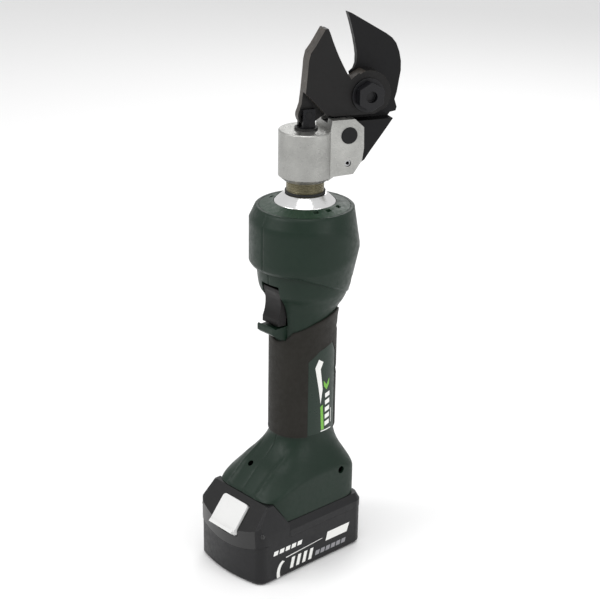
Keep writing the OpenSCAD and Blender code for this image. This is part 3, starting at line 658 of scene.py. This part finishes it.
plate_mark("plate_mark_wedge", [(-7.2, 160), (-4, 166.5), (0.4, 163.5), (-2.2, 158), (0.2, 141),
                                (-1.6, 128.5), (-3.6, 141)], "white")
plate_mark("plate_mark_lime_top", [(1.2, 147.5), (4.4, 143.6), (7.6, 148.4), (7.4, 143.4),
                                   (4.6, 139.2), (1.6, 142.6)], "lime")
plate_mark("plate_mark_lime", [(-1.8, 126), (0.6, 127.5), (2.4, 106), (-0.6, 106)], "lime")
for i in range(5):
    z0 = 108.5 + 6 * i
    plate_mark("plate_mark_bar_%d" % i, [(3.2, z0), (8.4, z0 + 0.9), (8.2, z0 + 4.6),
                                         (3.0, z0 + 3.7)], "white")
plate_mark("plate_mark_line", [(10.2, 109.5), (10.8, 109.5), (10.8, 121.5), (10.2, 121.5)],
           "white")
plate_mark("plate_mark_foot", [(-1.0, 104.6), (10.6, 104.4), (10.6, 105.3), (-1.0, 105.5)],
           "white")


# ---------------------------------------------------------------- battery marks and trim
CASE_SIDE_X = 36.3
MARK_DEPTH = 0.05


def side_mark(name, points, look):
    """A thin printed shape on the battery's right-hand side, as an outline in (y, z)."""
    o = prism_x(points, CASE_SIDE_X, CASE_SIDE_X + MARK_DEPTH, name)
    return keep_mesh(o, name, look, "battery", slot="battery_plastic")


arc = [(-56.5 + 7.5 * (1 - math.cos(t)), 5.0 + 10.5 * math.sin(t))
       for t in np.linspace(-0.35, 1.35, 14)]
arc_in = [(-53.4 + 6.6 * (1 - math.cos(t)), 5.0 + 9.0 * math.sin(t))
          for t in np.linspace(-0.35, 1.35, 14)]
side_mark("case_mark_arc", arc + arc_in[::-1], "white")
side_mark("case_mark_rule", [(-47, 16.2), (-9, 18.9), (-9, 19.3), (-47, 17.0)], "white")
side_mark("case_mark_block", [(-5.4, 15.2), (17.6, 15.2), (20.4, 22.6), (-3.4, 22.6)], "white")
for i in range(4):
    y0 = -43 + 6.4 * i
    side_mark("case_mark_slash_%d" % i, [(y0, 5.2), (y0 + 3.3, 5.2), (y0 + 5.6, 14.4),
                                         (y0 + 2.3, 14.4)], "white")
for i in range(6):
    y0 = -16.5 + 5.6 * i
    side_mark("case_mark_tick_%d" % i, [(y0, 6.4), (y0 + 4.2, 6.4), (y0 + 5.2, 10.2),
                                        (y0 + 1.0, 10.2)], "grey_label")
for i in range(5):
    y0 = -60 + 6.1 * i
    side_mark("case_mark_dash_%d" % i, [(y0, 22.4), (y0 + 4.4, 22.4), (y0 + 5.3, 26.0),
                                        (y0 + 0.9, 26.0)], "white")


def lathe(name, profile, look, body, n=128, smooth=35, centre=(0, 0), axis_fn=None, **kw):
    """Turned solid from a closed outline of (r, z), in millimetres."""
    m = len(profile)
    verts = []
    for i in range(n):
        t = 2 * math.pi * i / n
        for r, z in profile:
            v = (centre[0] + r * math.cos(t), centre[1] + r * math.sin(t), z)
            v = axis_fn(v) if axis_fn else v
            verts.append([c * MM for c in v])
    faces = [[i * m + j, ((i + 1) % n) * m + j, ((i + 1) % n) * m + (j + 1) % m,
              i * m + (j + 1) % m] for i in range(n) for j in range(m)]
    o = loose(name + "_raw", verts, faces)
    return keep_mesh(o, name, look, body, smooth=smooth, **kw)


neck = [(7.35, 276.2), (15.2, 276.2), (15.2, 279.3), (14.1, 279.3)]
z = 294.2
while z < 302.4:
    neck += [(14.1, z), (13.75, z + 0.35), (13.75, z + 0.6), (14.1, z + 0.95)]
    z += 1.25
neck += [(14.1, 303.2), (13.8, 303.5), (12.5, 303.5), (12.5, 318), (7.35, 318)]
lathe("neck_thread", neck, "neck", "head", replaces=["neck_sleeve"])

for side in (-1, 1):
    nub = [(0.001, -0.8), (2.2, -0.8)] + [(2.2 * math.cos(a), 1.3 * math.sin(a)) for a in
                                          np.linspace(0, 1.52, 7)] + [(0.001, 1.3)]
    lathe("case_nub_%s" % ("right" if side > 0 else "left"), nub, "gloss", "battery", n=32,
          axis_fn=lambda v, side=side: (side * (35.2 + v[2]), -69.5 + v[0], 43.0 + v[1]),
          slot="battery_gloss")


def two_tone_cover():
    """The battery's front cover: a glossy panel between matt shoulders."""
    bm = clean_copy("battery_front_cover")
    for s in (-1, 1):
        bmesh.ops.bisect_plane(bm, geom=bm.verts[:] + bm.edges[:] + bm.faces[:], dist=1e-6,
                               plane_co=(s * 31 * MM, -0.074, 0.042),
                               plane_no=(s, 0, 0.06))
    me = bpy.data.meshes.new("front_cover")
    bm.to_mesh(me)
    bm.free()
    o = add_mesh("front_cover", me, "gloss", "battery", replaces=["battery_front_cover"],
                 smooth=180)
    me.materials.append(M["battery"])
    for f in me.polygons:
        c = f.center
        if abs(c.x) + 0.06 * (c.z - 0.042) > 0.031 or c.y > -0.0565:
            f.material_index = 1
    b = o.modifiers.new("edge", "BEVEL")
    b.width, b.segments = 0.9 * MM, 3
    b.limit_method, b.angle_limit = "ANGLE", math.radians(20)
    w = o.modifiers.new("normals", "WEIGHTED_NORMAL")
    w.weight = 80
    return o


two_tone_cover()


def ground_edges(node, width, share):
    """Gives a blade a lighter ground band along its edges and on its outer side."""
    o = softened(node, width, segments=1, angle=35)
    me = o.data
    me.materials.append(M["worn"])
    across = Vector((math.sin(HEAD_TURN), math.cos(HEAD_TURN), 0))
    for f in me.polygons:
        if f.normal.dot(across) < -share and f.center.z > 0.345:
            f.material_index = 1
    o.modifiers["edge"].material = 1
    return o


ground_edges("moving_jaw", 1.1, 0.45)

for n, w in (("yoke", 0.5), ("fixed_blade", 0.35), ("collar", 0.35),
             ("pivot_bolt", 0.45), ("pivot_nut", 0.45), ("anchor_pin", 0.6),
             ("ram_rod", 0.4), ("trigger", 0.7), ("battery_lower_case", 0.8),
             ("battery_upper_case", 0.6), ("latch_button", 1.2), ("top_ring", 0.3),
             ("retract_button", 0.6), ("battery_shoe", 0.3), ("pivot_washers", 0.25),
             ("clevis_pin", 0.3), ("lock_pin", 0.3), ("housing_screws", 0.25)):
    softened(n, w)

# The return spring gets its own copy of the CAD mesh; in the real tool it closes up between the
# piston and the cylinder's head as the ram rises.
spring_mesh = nodes["return_spring"].data.copy()
coil = add_mesh("return_coil", spring_mesh, "steel", "head", replaces=["return_spring"])
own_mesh(coil)

# ---------------------------------------------------------------- stage
WORLD_LIGHT = 0.72
FLOOR_REACH = 6
PAPER = (0.92, 0.92, 0.92, 1)
world = bpy.data.worlds.new("studio")
bpy.context.scene.world = world
world.use_nodes = True
world.node_tree.nodes["Background"].inputs[0].default_value = (1, 1, 1, 1)
world.node_tree.nodes["Background"].inputs[1].default_value = WORLD_LIGHT

floor_mesh = bpy.data.meshes.new("floor")
floor_corners = [(x * FLOOR_REACH, y * FLOOR_REACH, 0)
                 for x, y in ((-1, -1), (1, -1), (1, 1), (-1, 1))]
floor_mesh.from_pydata(floor_corners, [], [[0, 1, 2, 3]])
floor = bpy.data.objects.new("floor", floor_mesh)
bpy.context.scene.collection.objects.link(floor)
paper = bpy.data.materials.new("floor_paper")
paper.use_nodes = True
paper.node_tree.nodes["Principled BSDF"].inputs["Base Color"].default_value = PAPER
paper.node_tree.nodes["Principled BSDF"].inputs["Roughness"].default_value = 0.9
floor_mesh.materials.append(paper)


def area(name, at, target, size, power):
    """A rectangular soft light at a place, turned to its target."""
    light = bpy.data.lights.new(name, "AREA")
    light.shape = "RECTANGLE"
    light.size, light.size_y = size
    light.energy = power
    o = bpy.data.objects.new(name, light)
    bpy.context.scene.collection.objects.link(o)
    o.location = at
    o.rotation_euler = (Vector(target) - Vector(at)).to_track_quat("-Z", "Y").to_euler()


area("key", (-0.6, -1.5, 1.5), (0, 0, 0.2), (0.9, 0.9), 14)
area("side", (1.6, 0.2, 0.9), (0, 0, 0.2), (0.8, 1.2), 7)
area("back", (-0.8, 1.2, 1.2), (0, 0, 0.25), (0.8, 0.8), 6)
area("top", (0.2, -0.2, 1.9), (0, 0, 0.2), (0.9, 0.9), 8)

# ---------------------------------------------------------------- camera
CAM_AZ, CAM_DIST, CAM_Z = 47.36, 1.0802, 0.63827
CAM_PITCH, CAM_YAW, CAM_ROLL, CAM_FOCAL = 21.756, 0.132, 0.893, 1529 / 600
az = math.radians(CAM_AZ)
heading, pitch, roll = (math.radians(v) for v in (CAM_AZ + CAM_YAW, CAM_PITCH, CAM_ROLL))
forward = Vector((-math.sin(heading) * math.cos(pitch), math.cos(heading) * math.cos(pitch),
                  -math.sin(pitch)))
right = forward.cross(Vector((0, 0, 1))).normalized()
up = right.cross(forward)
right_r = math.cos(roll) * right + math.sin(roll) * up
up_r = -math.sin(roll) * right + math.cos(roll) * up
camera = bpy.data.objects.new("camera", bpy.data.cameras.new("camera"))
bpy.context.scene.collection.objects.link(camera)
camera.matrix_world = Matrix((
    (right_r.x, up_r.x, -forward.x, math.sin(az) * CAM_DIST),
    (right_r.y, up_r.y, -forward.y, -math.cos(az) * CAM_DIST),
    (right_r.z, up_r.z, -forward.z, CAM_Z),
    (0, 0, 0, 1),
))
camera.data.sensor_width = 36
camera.data.lens = 36 * CAM_FOCAL
camera.data.clip_end = 30
bpy.context.scene.camera = camera
bpy.context.scene.view_settings.view_transform = "Standard"
